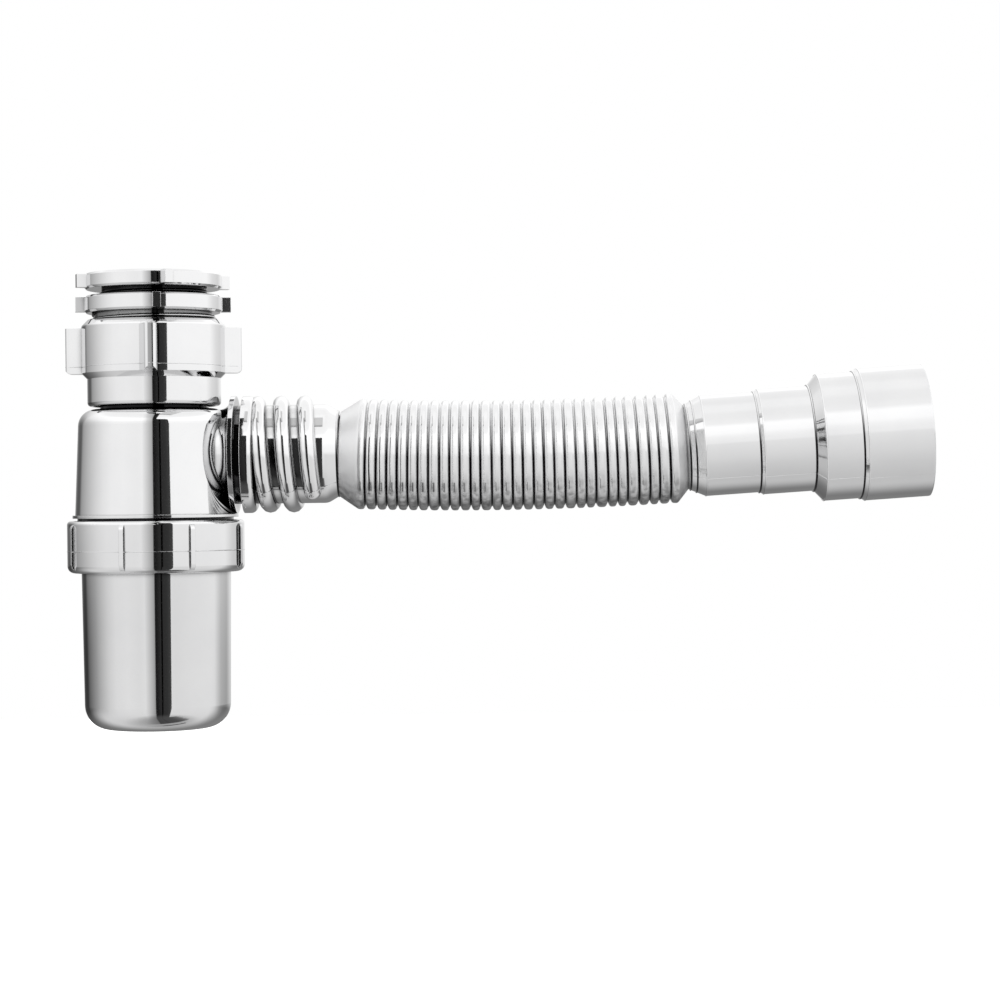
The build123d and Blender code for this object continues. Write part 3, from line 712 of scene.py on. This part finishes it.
def studio_card(name, corners, faces, shader):
    """A card that only reflections see."""
    mesh = bpy.data.meshes.new(name)
    mesh.from_pydata(corners, [], faces)
    mesh.materials.append(shader)
    card = bpy.data.objects.new(name, mesh)
    bpy.context.scene.collection.objects.link(card)
    card.visible_camera = False
    card.visible_diffuse = False
    card.visible_shadow = False
    return card


def dark_gap():
    """Dark gap in the tent: soft at the left edge, with a black line up the middle."""
    made, tree = material("dark_gap")
    node = partial(add, tree)
    way = node("ShaderNodeSeparateXYZ", node("ShaderNodeTexCoord").outputs["Object"]).outputs
    tone = node("ShaderNodeValToRGB", node("ShaderNodeMapRange", way["X"], GAP_LOW_X, GAP_TABLE_X))
    width = GAP_TABLE_X - GAP_LOW_X
    stops = [((x * MM - GAP_LOW_X) / width, level, cover) for x, level, cover in GAP_TONES]
    ramp = tone.color_ramp.elements
    ramp[0].position, ramp[1].position = stops[0][0], stops[-1][0]
    for at, *_ in stops[1:-1]:
        ramp.new(at)
    for stop, (at, level, cover) in zip(ramp, stops):
        stop.color = (level, level, level, cover)
    glow = node("ShaderNodeEmission", tone)
    clear = node("ShaderNodeBsdfTransparent")
    node("ShaderNodeOutputMaterial", node("ShaderNodeMixShader", tone.outputs["Alpha"], clear, glow))
    corners = [(x, y, z) for first, last, high in GAP_STRIPS
               for y, z in (first, last) for x in (GAP_LOW_X, high)]
    faces = [(k, k + 1, k + 3, k + 2) for k in range(0, len(corners), 4)]
    return studio_card("dark_gap", corners, faces, made)


def slit_flag():
    """White board with dark slits at the right of the gap, so that the tube's far end does not see the gap
    whole. Only its right side shows."""
    made, tree = material("slit_flag")
    node = partial(add, tree)
    back = node("ShaderNodeNewGeometry").outputs["Backfacing"]
    way = node("ShaderNodeSeparateXYZ", node("ShaderNodeTexCoord").outputs["Object"]).outputs
    count = node("ShaderNodeMath", way["Y"], 1 / SLIT_PITCH, operation="MULTIPLY")
    across = node("ShaderNodeMath", count, operation="FRACT")
    slits = node("ShaderNodeMapRange", across, *SLIT_END, SLIT_LEVEL, BOARD_LEVEL, **SMOOTH)
    glow = node("ShaderNodeEmission", Strength=slits)
    clear = node("ShaderNodeBsdfTransparent")
    node("ShaderNodeOutputMaterial", node("ShaderNodeMixShader", back, glow, clear))
    outline = ((GAP_Y, GAP_FLOOR_Z), (0.0, GAP_FLOOR_Z), (0.0, FLAG_STEP_Z), (FLAG_BACK_Y, FLAG_STEP_Z),
               (FLAG_BACK_Y, GAP_TOP_Z), (GAP_Y, GAP_TOP_Z))
    return studio_card("slit_flag", [(FLAG_X, y, z) for y, z in outline], [(0, 1, 2, 3), (0, 3, 4, 5)], made)


def grey_lid():
    """Grey lid of the tent above the cuff, with a darker front edge."""
    made, tree = material("grey_lid")
    node = partial(add, tree)
    way = node("ShaderNodeSeparateXYZ", node("ShaderNodeTexCoord").outputs["Object"]).outputs
    edge = (LID_FRONT_Y, LID_FRONT_Y + LID_EDGE)
    level = node("ShaderNodeMapRange", way["Y"], *edge, LID_EDGE_LEVEL, LID_LEVEL)
    node("ShaderNodeOutputMaterial", node("ShaderNodeEmission", Strength=level))
    corners = [(x, y, LID_Z) for y in (LID_FRONT_Y, LID_BACK_Y) for x in LID_X]
    return studio_card("grey_lid", corners, [(0, 1, 3, 2)], made)


def bottle_shade():
    """Shade of the bottle on the table below it, soft towards its edge."""
    made, tree = material("bottle_shade")
    node = partial(add, tree)
    place = node("ShaderNodeTexCoord").outputs["Object"]
    away = node("ShaderNodeVectorMath", place, SHADE_AT, operation="DISTANCE").outputs["Value"]
    cover = node("ShaderNodeMapRange", away, SHADE_CORE, SHADE_END, SHADE_COVER, 0.0, **SMOOTH)
    glow = node("ShaderNodeEmission", Strength=SHADE_LEVEL)
    clear = node("ShaderNodeBsdfTransparent")
    node("ShaderNodeOutputMaterial", node("ShaderNodeMixShader", cover, clear, glow))
    x, y, z = SHADE_AT
    corners = [(x + i * SHADE_HALF, y + j * SHADE_HALF, z) for j in (-1, 1) for i in (-1, 1)]
    return studio_card("bottle_shade", corners, [(0, 1, 3, 2)], made)


def photo_camera():
    """Camera level with the middle of the picture, about a metre away and rolled a little."""
    lens = bpy.data.cameras.new("camera")
    lens.sensor_width = SENSOR
    lens.lens = SENSOR * CAMERA_AWAY / PICTURE_WIDTH
    camera = bpy.data.objects.new("camera", lens)
    bpy.context.scene.collection.objects.link(camera)
    camera.location = (PICTURE_X, -CAMERA_AWAY, PICTURE_Z)
    camera.rotation_euler = (math.pi / 2, CAMERA_ROLL, 0)
    bpy.context.scene.camera = camera


bpy.context.scene.view_settings.view_transform = "Standard"
tent_world()
pale_floor()
dark_gap()
slit_flag()
grey_lid()
bottle_shade()
photo_camera()
